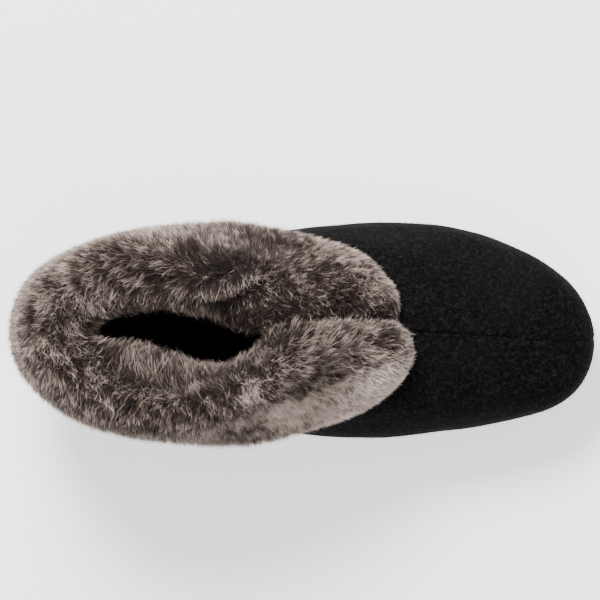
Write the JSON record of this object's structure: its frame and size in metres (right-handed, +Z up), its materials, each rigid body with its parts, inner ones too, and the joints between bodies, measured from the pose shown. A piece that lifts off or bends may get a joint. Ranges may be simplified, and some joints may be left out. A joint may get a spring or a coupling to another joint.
{
  "type": "bootie slipper",
  "caption": "Left-foot bootie slipper: seamed felt upper, turned-down deep fur cuff that splits over the instep, padded insole and low moulded rubber sole.",
  "frame": {"origin": "on the floor, in the middle of the heel's flat rest", "axes": "+X towards the toe, +Y towards the outer side of the foot, +Z up"},
  "size_m": [0.2679, 0.1054, 0.1206],
  "materials": {
    "rubber": "matt moulded rubber",
    "felt": "napped wool felt",
    "fleece": "short fleece",
    "fur": "deep frosted pile"
  },
  "bodies": {
    "root": {"outsole": "rubber", "upper": "felt", "insole": "fleece", "fur_cuff": "fur"}
  },
  "joints": []
}
